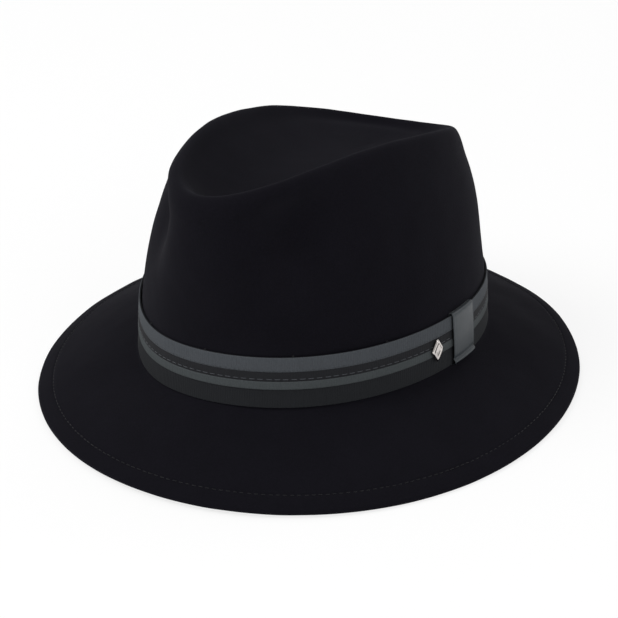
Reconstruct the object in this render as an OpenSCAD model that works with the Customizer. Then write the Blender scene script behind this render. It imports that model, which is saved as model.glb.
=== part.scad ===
// A pinched felt fedora with a ribbon band, built as its maker sews it.
// Millimetres, +Z up, -Y is the wearer's front and +X the wearer's left.
// The origin is the middle of the head opening, at the level of the brim break.
// The angle t runs round the hat: 0 at the front, 90 at the wearer's left.

/* [Head opening] */
// Width of the felt crown at the brim break, outside the felt
head_w = 172; // [150:1:190]
// Length of the felt crown at the brim break, outside the felt
head_l = 205; // [180:1:225]
// How much higher the break lies at the front than at the back
break_tilt = 9.7; // [0:0.1:14]
// How much the break rises at the sides above its front and back
break_bow = 3.6; // [0:0.1:8]
// How far the middle of the break lies below the origin
break_sink = 1.3; // [0:0.1:4]
// How far the base of the crown dips further on the wearer's right front
break_dip = 6; // [0:0.1:8]
// Inward lean of the wall behind the band, per millimetre of height
band_lean = 0.062; // [0:0.002:0.12]

/* [Brim] */
// Reach of the brim at each side, seen from above
brim_side = 53; // [35:1:75]
// Reach of the brim at the front, seen from above
brim_front = 52.8; // [35:1:75]
// Reach of the brim at the back, seen from above
brim_back = 45.6; // [30:1:70]
// Depth of the brim edge below the origin
brim_drop = 23.4; // [8:0.1:34]
// Arch of the brim between its break and its edge
brim_arch = 1.2; // [0:0.1:5]
// Width of the edge that is folded under and sewn
welt_w = 9; // [5:0.5:14]

/* [Crown] */
// Height of the ridge at the front of the crown
ridge_front = 110.5; // [90:0.5:130]
// Height of the ridge at the back of the crown
ridge_back = 84; // [70:0.5:110]
// Mean height of the ridge at the two sides
ridge_side = 112; // [95:0.5:130]
// How much higher the ridge lies on the wearer's left than on the right
ridge_list = 13; // [0:0.5:16]
// Half width of the ridge at its middle
ridge_half_w = 57; // [45:0.5:66]
// Narrowing of the ridge towards the front, as a share of its width
ridge_taper = 0.246; // [0:0.01:0.35]
// Height of the floor of the bowl at its middle
bowl_z = 86; // [74:0.5:96]
// Outward swell of the wall between band and ridge
wall_swell = 2.5; // [0:0.5:8]
// Depth of the soft groove under the ridge
groove_d = 0.8; // [0:0.1:2]
// Depth of each pinch beside the front
pinch_d = 12; // [0:0.5:16]
// Angle of each pinch from the front
pinch_t = 39; // [30:1:55]

/* [Felt] */
// Thickness of the felt
felt_t = 1.8; // [1.2:0.1:3]

/* [Hatband] */
// Height of the ribbon
band_h = 28; // [20:0.5:40]
// Height of the dark ribbon left bare at the bottom
bare_h = 11; // [6:0.5:14]
// Height of the narrow lower strip
lower_h = 4.2; // [3:0.1:6]
// Height of the centre stripe
centre_h = 5.2; // [4:0.1:8]
// Thickness of the base ribbon
ribbon_t = 0.45; // [0.3:0.05:0.8]
// Thickness of the strips sewn on it
strip_t = 0.4; // [0.3:0.05:0.8]
// Width of the keeper loop round the band
keeper_w = 21; // [14:0.5:30]
// Angle of the middle of the keeper
keeper_at = 91.4; // [80:1:110]
// Thickness of the keeper's satin
keeper_t = 0.8; // [0.5:0.1:1.2]

/* [Pin] */
// Width of the lozenge pin
pin_w = 9; // [6:0.5:12]
// Height of the lozenge pin
pin_h = 14; // [10:0.5:18]
// Thickness of the lozenge pin
pin_t = 1.3; // [0.8:0.1:2]
// Angle of the pin round the band
pin_at = 78; // [60:1:82]
// Radius of each prong
prong_r = 0.5; // [0.3:0.1:0.8]

/* [Inside] */
// Height of the sweatband
sweat_h = 40; // [30:1:50]
// Thickness of the sweatband leather
sweat_t = 0.9; // [0.6:0.1:1.5]
// Thickness of the lining satin
lining_t = 0.35; // [0.25:0.05:0.6]

/* [Hidden] */

// Facets round the hat; every piece uses the same ones, so neighbours stay parallel
facets = 48;
step_t = 360 / facets;
// Clearance between sewn layers
gap = 0.15;

// Control rings: five along the brim, then the break, then up the wall and into the bowl
BREAK = 6;
ring_step = 8;
wall_rings = [0.24, 0.4, 0.57, 0.74, 0.88];
RIDGE = BREAK + 12;
bowl_mix = [0.13, 0.3, 0.52, 0.78, 0.95];
bowl_fall = [0.16, 0.6, 0.92, 1, 1];
LAST = RIDGE + len(bowl_mix);
brim_mix = [0, 0.2, 0.4, 0.6, 0.8, 0.93];

// Place and depth of the shoulder either side of the ridge
shoulder_out = 4;
shoulder_front = 3.5;
shoulder_drop = 5;
// Pinch: spread round the hat and up the wall
pinch_spread = 15;
pinch_rise = 2.4;
// Height up the wall and half height of the groove under the ridge
groove_mid = 0.87;
groove_spread = 0.09;
// Half length of the bowl's floor line
floor_half = 48;
floor_mid = 4;

// Layers, as distances from the felt's outer face along its normal
tuck_d = gap;
tuck_t = 0.3;
ribbon_d = tuck_d + tuck_t + gap;
strip_d = ribbon_d + ribbon_t + gap;
over_d = strip_d + strip_t + gap;
stitch_t = 0.3;
lining_d = -felt_t - gap;
sweat_d = lining_d - lining_t - gap - 0.35;
band_lo = 0.4;
lower_lo = band_lo + bare_h;
centre_lo = lower_lo + lower_h;
upper_lo = centre_lo + centre_h;
band_hi = band_lo + band_h;

function lerp(a, b, f) = a + (b - a) * f;
function unit(v) = v / norm(v);
function sq(v) = v * v;

// Oval of the crown at the break, and its outward direction
function oval(t) = [head_w / 2 * sin(t), -head_l / 2 * cos(t)];
function oval_out(t) = unit([sin(t) / head_w, -cos(t) / head_l]);
function break_z(t) =
  break_tilt / 2 * cos(t) - break_bow / 2 * cos(2 * t) - break_sink
  - break_dip * exp(-sq(side_angle(t - 322) / 34));

// Edge of the brim: nearly flat, resting on three gentle low places
function edge_xy(t) = [
  (head_w / 2 + brim_side) * sin(t),
  (brim_back - brim_front) / 2 - (head_l + brim_front + brim_back) / 2 * cos(t)
];
function edge_z(t) = -brim_drop + 0.4 * cos(t) + 0.4 * cos(2 * t) + 0.6 * cos(3 * t);

// Ridge of the crown, a teardrop that is narrow in front and lists to one side
function ridge_y(t) = -7 - head_l * 0.452 * cos(t);
function ridge_z(t) =
  (ridge_front + ridge_back) / 4 + ridge_side / 2
  + (ridge_front - ridge_back) / 2 * cos(t)
  + ((ridge_front + ridge_back) / 4 - ridge_side / 2) * cos(2 * t)
  + ridge_list / 2 * sin(t);
function ridge_x(t) =
  ridge_half_w * sin(t) * (1 - ridge_taper * cos(t) + 0.047 * cos(2 * t));
function ridge(t) = [ridge_x(t), ridge_y(t), ridge_z(t)];
function ridge_out(t) =
  let (d = ridge(t + 1) - ridge(t - 1))
  unit([d[1], -d[0]]);

// Share of the pinch at an angle, and at a height f up the wall
function side_angle(t) = abs((t % 360 + 540) % 360 - 180);
function pinch(t, f) =
  pinch_d * exp(-sq((side_angle(t) - pinch_t) / pinch_spread))
  * pow(sin(180 * pow(f, pinch_rise)), 1.2);

function brim_ring(k, t) =
  let (
    f = brim_mix[k],
    xy = lerp(edge_xy(t), oval(t), f),
    z = lerp(edge_z(t), break_z(t), f) + brim_arch * sin(180 * f)
  )
  [xy[0], xy[1], z];

function band_ring(k, t) =
  let (h = (k - BREAK) * ring_step, xy = oval(t) - band_lean * h * oval_out(t))
  [xy[0], xy[1], break_z(t) + h];

// Wall from the top of the band, f = 0, to the shoulder under the ridge, f = 1
function wall_point(t, f) =
  let (
    low = band_ring(BREAK + 4, t),
    r = ridge(t),
    reach = shoulder_out + shoulder_front * (1 + cos(t)) / 2,
    top = r + reach * [ridge_out(t)[0], ridge_out(t)[1], 0] - [0, 0, shoulder_drop],
    groove = groove_d * exp(-sq((f - groove_mid) / groove_spread)),
    push = wall_swell * sin(180 * pow(f, 1.2)) - groove - pinch(t, f),
    out = oval_out(t)
  )
  lerp(low, top, f) + push * [out[0], out[1], 0];

function ridge_ring(t) = ridge(t) + [0, 0, shoulder_drop / 2];

// Bowl: each ring slides from the ridge towards the floor line and sinks to it
function floor_z(t) = bowl_z + 3 * cos(t) - 2 * sq(cos(t));
function bowl_ring(k, t) =
  let (
    r = ridge(t),
    w = bowl_mix[k],
    y = lerp(r[1], floor_mid - floor_half * cos(t), w),
    z = lerp(r[2], floor_z(t), bowl_fall[k])
  )
  [r[0] * (1 - w), y, z - (k == 0 ? shoulder_drop / 2 : 0)];

function ring(k, t) =
  k < BREAK ? brim_ring(k, t)
  : k <= BREAK + 4 ? band_ring(k, t)
  : k == BREAK + 5 ? wall_point(t, 0.1)
  : k <= RIDGE - 2 ? wall_point(t, wall_rings[k - BREAK - 6])
  : k == RIDGE - 1 ? wall_point(t, 1)
  : k == RIDGE ? ridge_ring(t)
  : bowl_ring(k - RIDGE - 1, t);

// The rings run on in a straight line past both ends
function ctrl(k, t) =
  k < 0 ? ring(0, t) + (ring(0, t) - ring(1, t)) * -k
  : k > LAST ? 2 * ring(LAST, t) - ring(LAST - 1, t)
  : ring(k, t);

// Outer face of the felt: a cubic B-spline through the rings at angle t
function skin(t, s) =
  let (
    k = min(floor(s), LAST - 1),
    u = s - k,
    v = 1 - u
  )
  (v * v * v * ctrl(k - 1, t)
    + (3 * u * u * u - 6 * u * u + 4) * ctrl(k, t)
    + (3 * v * v * v - 6 * v * v + 4) * ctrl(k + 1, t)
    + u * u * u * ctrl(k + 2, t)) / 6;

function skin_out(t, s) =
  unit(cross(skin(t + 0.5, s) - skin(t - 0.5, s), skin(t, s + 0.02) - skin(t, s - 0.02)));

// A point d outside the felt's outer face, on a facet line
function on_line(i, s, d) = skin(i * step_t, s) + d * skin_out(i * step_t, s);

// The same at any angle, on the flat facet between two lines, so that layers never cross
function at(t, s, d) =
  let (i = floor(t / step_t + 0.001), f = t / step_t - i)
  abs(f) < 0.002 ? on_line(i, s, d) : lerp(on_line(i, s, d), on_line(i + 1, s, d), f);

// Ring numbers for a width in from the brim edge, and for a height up the wall
function brim_s(w) = 5 * w / norm([brim_side, brim_drop]);
function wall_s(h) = BREAK + h / ring_step;

// Ring numbers where felt and lining are cut alike, so that their facets stay parallel
wall_cuts = [9.6, 10.6, 11.4, 12.2, 13, 13.8, 14.6, 15.3, 16, 16.6, 17.1, 17.6];
bowl_cuts = [18, 18.5, 19.1, 19.8, 20.7, 21.8, LAST];

function round_ts() = [for (i = [0:facets - 1]) i * step_t];
// Angles from a to b, with the facet lines that lie between them
function arc_ts(a, b) =
  let (first = floor(a / step_t + 0.05) + 1, last = ceil(b / step_t - 0.05) - 1)
  concat([a], [for (i = [first:1:last]) i * step_t], [b]);

// A quad as two triangles
function quad(a, b, c, d) = [[a, b, c], [a, c, d]];
function flat1(lists) = [for (l = lists) for (v = l) v];

// A closed solid between an outer and an inner chain of [s, d] pairs, at the angles ts.
// "turn" closes it round the hat and "crown" closes it over the bowl.
module layer(ts, outer, inner, turn = false, crown = false) {
  n = len(ts);
  m = len(outer);
  a_points = [for (t = ts) for (p = outer) at(t, p[0], p[1])];
  b_points = [for (t = ts) for (p = inner) at(t, p[0], p[1])];
  off = n * m;
  span = turn ? n - 1 : n - 2;
  a_faces = flat1([
    for (i = [0:span]) for (j = [0:1:m - 2])
      let (a = i * m + j, b = (i + 1) % n * m + j)
      quad(a, a + 1, b + 1, b)
  ]);
  b_faces = flat1([
    for (i = [0:span]) for (j = [0:1:m - 2])
      let (a = off + i * m + j, b = off + (i + 1) % n * m + j)
      quad(a, b, b + 1, a + 1)
  ]);
  low_edge = flat1([
    for (i = [0:span])
      let (a = i * m, b = (i + 1) % n * m)
      quad(a, b, off + b, off + a)
  ]);
  high_edge = crown ? [] : flat1([
    for (i = [0:span])
      let (a = i * m + m - 1, b = (i + 1) % n * m + m - 1)
      quad(b, a, off + a, off + b)
  ]);
  over_bowl = crown ? flat1([
    for (i = [0:n / 2 - 1])
      let (
        a = i * m + m - 1, b = (i + 1) * m + m - 1,
        c = (n - i - 1) % n * m + m - 1, d = (n - i) % n * m + m - 1
      )
      i == 0 ? [[b, a, c], [off + a, off + b, off + c]]
      : i == n / 2 - 1 ? [[b, a, d], [off + a, off + b, off + d]]
      : concat(quad(a, d, c, b), quad(off + a, off + b, off + c, off + d))
  ]) : [];
  ends = turn ? [] : flat1([
    for (j = [0:1:m - 2])
      let (z = (n - 1) * m)
      concat(
        quad(j, off + j, off + j + 1, j + 1),
        quad(z + j, z + j + 1, off + z + j + 1, off + z + j)
      )
  ]);
  polyhedron(
    points = concat(a_points, b_points),
    faces = concat(a_faces, b_faces, low_edge, high_edge, over_bowl, ends),
    convexity = 10
  );
}

// A chain at one distance d through the ring numbers ss
function chain(ss, d) = [for (s = ss) [s, d]];
function wall_ss(lo, hi, n) = [for (i = [0:n]) wall_s(lerp(lo, hi, i / n))];

// A flat-sided band between two heights on the wall
module band(lo, hi, d, thick) {
  ss = wall_ss(lo, hi, 2);
  layer(round_ts(), chain(ss, d + thick), chain(ss, d), turn = true);
}

// A row of stitches on the line s, each covering a share of its pitch
module stitch_row(s, d, count, share, half_w, from = 0, to = 360) {
  pitch = (to - from) / count;
  for (i = [0:count - 1]) {
    mid = from + (i + 0.5) * pitch;
    ss = [s - half_w, s + half_w];
    layer(
      arc_ts(mid - share * pitch / 2, mid + share * pitch / 2),
      chain(ss, max(d, d + stitch_t)), chain(ss, min(d, d + stitch_t))
    );
  }
}

// Places children on the band, facing outwards, at angle t and height h
module on_band(t, h, d) {
  p = at(t, wall_s(h), d);
  i = floor(t / step_t);
  n = unit(on_line(i, wall_s(h), 1) + on_line(i + 1, wall_s(h), 1)
    - on_line(i, wall_s(h), 0) - on_line(i + 1, wall_s(h), 0));
  translate(p) rotate([0, acos(n[2]), atan2(n[1], n[0])]) rotate([0, 0, 90]) children();
}

module felt_body() {
  welt = brim_s(welt_w);
  ss = concat(
    [-0.1, -0.06, 0.06, 0.45, welt, welt + 0.03, 1.8, 2.7, 3.6, 4.4, 4.9, 5.4, 5.8, 6.3, 8],
    wall_cuts, bowl_cuts
  );
  top_d = [-0.75 * felt_t, -0.25 * felt_t];
  low_d = [-1.25 * felt_t, -1.75 * felt_t, -2 * felt_t, -2 * felt_t, -2 * felt_t];
  top = [for (i = [0:len(ss) - 1]) [ss[i], i < len(top_d) ? top_d[i] : 0]];
  low = [for (i = [0:len(ss) - 1]) [ss[i], i < len(low_d) ? low_d[i] : -felt_t]];
  color([0.09, 0.085, 0.105]) layer(round_ts(), top, low, turn = true, crown = true);
}

module brim_edge_stitching() {
  color([0.05, 0.05, 0.06]) stitch_row(brim_s(welt_w - 0.8), gap, 60, 0.7, 0.03);
}

module hatband_ribbon() {
  ss = wall_ss(band_lo, band_hi, 2);
  seam = 0.3;
  color([0.1, 0.11, 0.13]) difference() {
    layer(
      arc_ts(keeper_at + seam, keeper_at + 360 - seam),
      chain(ss, ribbon_d + ribbon_t), chain(ss, ribbon_d)
    );
    pin_holes();
  }
}

module band_lower_strip() {
  color([0.32, 0.345, 0.355]) difference() {
    band(lower_lo, centre_lo - gap, strip_d, strip_t);
    pin_holes();
  }
}

module band_centre_stripe() {
  color([0.16, 0.165, 0.18]) difference() {
    band(centre_lo, upper_lo - gap, strip_d, strip_t);
    pin_holes();
  }
}

module band_upper_strip() {
  color([0.4, 0.425, 0.44]) band(upper_lo, band_hi, strip_d, strip_t);
}

module band_stitching() {
  half = 0.035;
  from = keeper_at + keeper_deg() / 2 + 2;
  to = pin_at + 360 - 4;
  color([0.42, 0.44, 0.46]) {
    stitch_row(wall_s(centre_lo + 1.2), over_d, 44, 0.62, half, from, to);
    stitch_row(wall_s(upper_lo + 0.6), over_d, 44, 0.3, half, from, to);
  }
}

module band_tacking() {
  color([0.07, 0.07, 0.08])
    for (t = [0:30:330])
      if (side_angle(t - keeper_at) > keeper_deg() / 2 + 2)
        layer([t - 0.35, t + 0.35], chain([wall_s(band_hi + 0.4), wall_s(band_hi + 1.6)], 0.5),
          chain([wall_s(band_hi + 0.4), wall_s(band_hi + 1.6)], 0.1));
}

// Angle that the keeper covers on the side of the oval
function keeper_deg() = keeper_w / (head_l / 2) * 180 / PI;

// The keeper: one loop of satin round the whole band, with its back leg next to the felt
module keeper_loop() {
  lo = band_lo - gap;
  hi = band_hi + gap;
  out_d = over_d + 0.35;
  mid_h = (lo + hi) / 2;
  inner = [
    [mid_h, out_d], [hi - 2, out_d], [hi, out_d - 0.4], [hi, tuck_d + tuck_t],
    [mid_h, tuck_d + tuck_t], [lo, tuck_d + tuck_t], [lo, out_d - 0.2], [lo + 2.6, out_d]
  ];
  outer = [
    [mid_h, out_d + keeper_t], [hi - 2, out_d + keeper_t], [hi + keeper_t, out_d],
    [hi + keeper_t, tuck_d], [mid_h, tuck_d], [lo - keeper_t, tuck_d], [lo - keeper_t, out_d],
    [lo + 2.6, out_d + keeper_t]
  ];
  ts = arc_ts(keeper_at - keeper_deg() / 2, keeper_at + keeper_deg() / 2);
  color([0.24, 0.255, 0.28]) loop(ts, outer, inner);
}

// A closed loop of [height, d] pairs, swept over the angles ts
module loop(ts, outer, inner) {
  n = len(ts);
  m = len(outer);
  off = n * m;
  a_points = [for (t = ts) for (p = outer) at(t, wall_s(p[0]), p[1])];
  b_points = [for (t = ts) for (p = inner) at(t, wall_s(p[0]), p[1])];
  sides = flat1([
    for (i = [0:n - 2]) for (j = [0:m - 1])
      let (a = i * m + j, b = i * m + (j + 1) % m)
      concat(
        quad(a, b, b + m, a + m),
        quad(off + a, off + a + m, off + b + m, off + b)
      )
  ]);
  ends = flat1([
    for (j = [0:m - 1])
      let (k = (j + 1) % m, z = (n - 1) * m)
      concat(quad(j, off + j, off + k, k), quad(z + j, z + k, off + z + k, off + z + j))
  ]);
  polyhedron(
    points = concat(a_points, b_points),
    faces = [for (f = concat(sides, ends)) [f[2], f[1], f[0]]],
    convexity = 6
  );
}

// The folded end of the ribbon, tucked flat under the keeper's outer leg
module keeper_tuck() {
  ss = wall_ss(band_lo + 3, band_hi - 3, 2);
  half = keeper_deg() / 2 - 2;
  color([0.08, 0.085, 0.1])
    layer(arc_ts(keeper_at - half, keeper_at + half), chain(ss, over_d + 0.25), chain(ss, over_d));
}

// Distance from the face of the strips to the back of the pin
pin_d = over_d + 0.1;
pin_mid = band_lo + 14.2;
prong_gap = 3;

module pin_holes() {
  for (side = [-1, 1])
    on_band(pin_at, pin_mid + side * prong_gap, -0.1)
      cylinder(h = pin_d + 1, r = prong_r + 0.15, $fn = 24);
}

module hat_pin() {
  color([0.74, 0.72, 0.69])
    on_band(pin_at, pin_mid, pin_d)
      linear_extrude(pin_t)
        polygon([[pin_w / 2, 0], [0, pin_h / 2], [-pin_w / 2, 0], [0, -pin_h / 2]]);
}

module pin_prongs() {
  color([0.74, 0.72, 0.69])
    for (side = [-1, 1])
      on_band(pin_at, pin_mid + side * prong_gap, tuck_d + tuck_t)
        cylinder(h = pin_d - tuck_d - tuck_t, r = prong_r, $fn = 24);
}

module pin_back_plate() {
  color([0.5, 0.5, 0.5])
    on_band(pin_at, pin_mid, tuck_d)
      translate([-2.5, -prong_gap - 2, 0]) cube([5, 2 * prong_gap + 4, tuck_t]);
}

module sweatband() {
  ss = concat([wall_s(-0.5), wall_s(0.6), wall_s(1.7)], wall_ss(3, sweat_h, 3));
  seam = 0.4;
  color([0.1, 0.08, 0.07])
    layer(arc_ts(180 + seam, 540 - seam), chain(ss, sweat_d), chain(ss, sweat_d - sweat_t));
}

// A thin rod sewn into the lower edge of the sweatband, which keeps the oval
module sweatband_reed() {
  mid = lining_d - 0.05;
  d = sweat_d - mid + 0.1;
  r = 0.09;
  s = wall_s(0.6);
  outer = [[s - r, mid + 0.2 * d], [s, mid], [s + r, mid + 0.2 * d]];
  inner = [[s - r, mid + 0.8 * d], [s, mid + 0.95 * d], [s + r, mid + 0.8 * d]];
  color([0.2, 0.19, 0.18]) layer(round_ts(), outer, inner, turn = true);
}

module sweatband_stitching() {
  color([0.3, 0.27, 0.24])
    stitch_row(wall_s(3), sweat_d - sweat_t - gap - stitch_t, 48, 0.6, 0.03, 182, 538);
}

module sweatband_seam_tape() {
  ss = wall_ss(3, sweat_h - 8, 2);
  d = sweat_d + 0.1;
  color([0.08, 0.08, 0.09])
    layer(arc_ts(180 - 3, 180 + 3), chain(ss, d + 0.25), chain(ss, d));
}

// Small bow over the seam: two loops and a knot, lying flat on the leather
module sweatband_bow() {
  d = sweat_d - sweat_t - gap;
  h = sweat_h - 7;
  color([0.09, 0.09, 0.11]) {
    for (side = [-1, 1])
      layer(
        side > 0 ? [181.2, 186, 189] : [171, 174, 178.8],
        chain([wall_s(h - 3.5), wall_s(h + 3.5)], d), chain([wall_s(h - 3.5), wall_s(h + 3.5)], d - 0.6)
      );
    layer([178.9, 181.1], chain([wall_s(h - 2.2), wall_s(h + 2.2)], d), chain([wall_s(h - 2.2), wall_s(h + 2.2)], d - 1));
  }
}

module lining_side() {
  ss = concat([wall_s(sweat_h - 14)], wall_cuts);
  color([0.13, 0.12, 0.13])
    layer(round_ts(), chain(ss, lining_d), chain(ss, lining_d - lining_t), turn = true);
}

module lining_tip() {
  ss = concat([wall_cuts[len(wall_cuts) - 1] + 0.08], bowl_cuts);
  color([0.13, 0.12, 0.13])
    layer(
      round_ts(), chain(ss, lining_d), chain(ss, lining_d - lining_t), turn = true, crown = true
    );
}

// A covered cord in the seam between side and tip
module lining_piping() {
  s = wall_cuts[len(wall_cuts) - 1] + 0.04;
  d = lining_d - lining_t - gap;
  outer = [[s - 0.1, d - 0.3], [s, d], [s + 0.1, d - 0.3]];
  inner = [[s - 0.1, d - 0.7], [s, d - 1], [s + 0.1, d - 0.7]];
  color([0.2, 0.19, 0.2]) layer(round_ts(), outer, inner, turn = true);
}

// Tacks that hold the lower edge of the lining to the felt
module lining_tacking() {
  color([0.1, 0.1, 0.1])
    for (t = [15:30:345])
      layer([t - 0.5, t + 0.5],
        chain([wall_s(sweat_h - 12), wall_s(sweat_h - 11)], lining_d - lining_t - 0.05),
        chain([wall_s(sweat_h - 12), wall_s(sweat_h - 11)], lining_d - lining_t - 0.3));
}

// A blank woven label, tucked under the sweatband
module size_label() {
  ss = wall_ss(sweat_h - 16, sweat_h - 1, 2);
  d = sweat_d - sweat_t - gap;
  color([0.75, 0.74, 0.72])
    layer(arc_ts(196, 206), chain(ss, d), chain(ss, d - 0.25));
}

felt_body();
brim_edge_stitching();
hatband_ribbon();
band_lower_strip();
band_centre_stripe();
band_upper_strip();
band_stitching();
band_tacking();
keeper_loop();
keeper_tuck();
hat_pin();
pin_prongs();
pin_back_plate();
sweatband();
sweatband_reed();
sweatband_stitching();
sweatband_seam_tape();
sweatband_bow();
lining_side();
lining_tip();
lining_piping();
lining_tacking();
size_label();
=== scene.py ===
"""A pinched felt fedora: felt body, striped grosgrain band, satin keeper, lozenge pin, sweatband and lining."""
import math
import bpy
import numpy as np
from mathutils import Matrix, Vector


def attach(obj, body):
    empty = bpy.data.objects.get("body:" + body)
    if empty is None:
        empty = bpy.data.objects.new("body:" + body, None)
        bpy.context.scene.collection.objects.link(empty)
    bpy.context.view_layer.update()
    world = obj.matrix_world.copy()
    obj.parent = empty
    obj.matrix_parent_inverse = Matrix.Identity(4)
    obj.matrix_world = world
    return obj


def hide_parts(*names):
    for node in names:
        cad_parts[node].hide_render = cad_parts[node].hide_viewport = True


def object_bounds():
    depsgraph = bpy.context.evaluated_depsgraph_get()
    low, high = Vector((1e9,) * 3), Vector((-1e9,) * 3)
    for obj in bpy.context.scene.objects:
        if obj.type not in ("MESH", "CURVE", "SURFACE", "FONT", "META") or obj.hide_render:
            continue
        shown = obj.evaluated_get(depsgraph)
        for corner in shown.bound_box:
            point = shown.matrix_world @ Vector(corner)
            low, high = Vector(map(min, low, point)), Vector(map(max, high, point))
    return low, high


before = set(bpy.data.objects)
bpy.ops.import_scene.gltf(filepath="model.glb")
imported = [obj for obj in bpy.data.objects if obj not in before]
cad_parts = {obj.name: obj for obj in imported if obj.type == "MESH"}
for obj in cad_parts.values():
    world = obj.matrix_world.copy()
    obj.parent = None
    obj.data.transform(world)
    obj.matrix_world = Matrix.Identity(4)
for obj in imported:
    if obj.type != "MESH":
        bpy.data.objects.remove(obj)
cad_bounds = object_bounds()
rng = np.random.default_rng(7)
MM = 0.001

# Driving sizes of the hat, in millimetres, as the CAD model has them
HEAD_W, HEAD_L = 172.0, 205.0
BREAK_TILT, BREAK_BOW, BREAK_SINK, BREAK_DIP, BAND_LEAN = 9.7, 3.6, 1.3, 6.0, 0.062
BRIM_SIDE, BRIM_FRONT, BRIM_BACK = 53.0, 52.8, 45.6
BRIM_DROP, BRIM_ARCH, WELT_W = 23.4, 1.2, 9.0
RIDGE_FRONT, RIDGE_BACK, RIDGE_SIDE, RIDGE_LIST = 110.5, 84.0, 112.0, 13.0
RIDGE_HALF_W, RIDGE_TAPER = 57.0, 0.246
BOWL_Z, WALL_SWELL = 86.0, 2.5
GROOVE_D, GROOVE_MID, GROOVE_SPREAD = 0.8, 0.87, 0.09
PINCH_D, PINCH_T, PINCH_SPREAD, PINCH_RISE = 12.0, 39.0, 15.0, 2.4
FELT_T = 1.8
BAND_LO, BAND_H, BARE_H, LOWER_H, CENTRE_H = 0.4, 28.0, 11.0, 4.2, 5.2
RIBBON_T, STRIP_T = 0.45, 0.4
KEEPER_W, KEEPER_AT, KEEPER_T = 21.0, 91.4, 0.8
PIN_W, PIN_H, PIN_T, PIN_AT = 9.0, 14.0, 1.3, 78.0
SWEAT_H, SWEAT_T, LINING_T = 40.0, 0.9, 0.35
GAP = 0.15

# Heights of the band's edges, and layers as distances from the felt's outer face
BAND_HI = BAND_LO + BAND_H
LOWER_LO = BAND_LO + BARE_H
CENTRE_LO = LOWER_LO + LOWER_H
UPPER_LO = CENTRE_LO + CENTRE_H
TUCK_D, TUCK_T = GAP, 0.3
RIBBON_D = TUCK_D + TUCK_T + GAP
STRIP_D = RIBBON_D + RIBBON_T + GAP
OVER_D = STRIP_D + STRIP_T + GAP
LINING_D = -FELT_T - GAP
SWEAT_D = LINING_D - LINING_T - GAP - 0.35

# Control rings of the felt's outer face, as in the CAD model
BREAK, RING_STEP = 6, 8.0
RIDGE = BREAK + 12
WALL_RINGS = (0.24, 0.4, 0.57, 0.74, 0.88)
BRIM_MIX = (0, 0.2, 0.4, 0.6, 0.8, 0.93)
BOWL_MIX = (0.13, 0.3, 0.52, 0.78, 0.95)
BOWL_FALL = (0.16, 0.6, 0.92, 1, 1)
LAST = RIDGE + len(BOWL_MIX)
SHOULDER_OUT, SHOULDER_FRONT, SHOULDER_DROP = 4.0, 3.5, 5.0
FLOOR_HALF, FLOOR_MID = 48.0, 4.0


# ---------------------------------------------------------------- the felt's outer face
def lerp(a, b, f):
    return a + (b - a) * f


def unit(v):
    return v / np.linalg.norm(v, axis=-1, keepdims=True)


def stack(*parts):
    return np.stack(np.broadcast_arrays(*parts), axis=-1)


def oval(t):
    return stack(HEAD_W / 2 * np.sin(t), -HEAD_L / 2 * np.cos(t))


def oval_out(t):
    return unit(stack(np.sin(t) / HEAD_W, -np.cos(t) / HEAD_L))


def break_z(t):
    dip = BREAK_DIP * np.exp(-((((np.degrees(t) - 142) % 360 - 180) / 34) ** 2))
    return BREAK_TILT / 2 * np.cos(t) - BREAK_BOW / 2 * np.cos(2 * t) - BREAK_SINK - dip


def edge(t):
    x = (HEAD_W / 2 + BRIM_SIDE) * np.sin(t)
    y = (BRIM_BACK - BRIM_FRONT) / 2 - (HEAD_L + BRIM_FRONT + BRIM_BACK) / 2 * np.cos(t)
    z = -BRIM_DROP + 0.4 * np.cos(t) + 0.4 * np.cos(2 * t) + 0.6 * np.cos(3 * t)
    return stack(x, y, z)


def ridge(t):
    ends = (RIDGE_FRONT + RIDGE_BACK) / 4
    c, s = np.cos(t), np.sin(t)
    x = RIDGE_HALF_W * s * (1 - RIDGE_TAPER * c + 0.047 * np.cos(2 * t))
    y = -7 - HEAD_L * 0.452 * c
    z = ends + RIDGE_SIDE / 2 + (RIDGE_FRONT - RIDGE_BACK) / 2 * c
    z = z + (ends - RIDGE_SIDE / 2) * np.cos(2 * t) + RIDGE_LIST / 2 * s
    return stack(x, y, z)


def flat_out(t):
    """Outward level direction of the ridge line."""
    d = ridge(t + 0.0175) - ridge(t - 0.0175)
    n = unit(stack(d[..., 1], -d[..., 0]))
    return stack(n[..., 0], n[..., 1], 0 * n[..., 0])


def pinch(t, f):
    side = np.abs((np.degrees(t) + 180) % 360 - 180)
    round_hat = np.exp(-((side - PINCH_T) / PINCH_SPREAD) ** 2)
    up_wall = max(0.0, math.sin(math.pi * f**PINCH_RISE)) ** 1.2
    return PINCH_D * round_hat * up_wall


def wall_point(t, f):
    low = band_ring(BREAK + 4, t)
    reach = SHOULDER_OUT + SHOULDER_FRONT * (1 + np.cos(t)) / 2
    top = ridge(t) + reach[..., None] * flat_out(t) - np.array([0, 0, SHOULDER_DROP])
    groove = GROOVE_D * math.exp(-(((f - GROOVE_MID) / GROOVE_SPREAD) ** 2))
    push = WALL_SWELL * math.sin(math.pi * f**1.2) - groove - pinch(t, f)
    out = oval_out(t)
    return lerp(low, top, f) + push[..., None] * stack(out[..., 0], out[..., 1], 0 * t)


def brim_ring(k, t):
    f = BRIM_MIX[k]
    o = oval(t)
    p = lerp(edge(t), stack(o[..., 0], o[..., 1], break_z(t)), f)
    p[..., 2] += BRIM_ARCH * math.sin(math.pi * f)
    return p


def band_ring(k, t):
    h = (k - BREAK) * RING_STEP
    o = oval(t) - BAND_LEAN * h * oval_out(t)
    return stack(o[..., 0], o[..., 1], break_z(t) + h)


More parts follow.
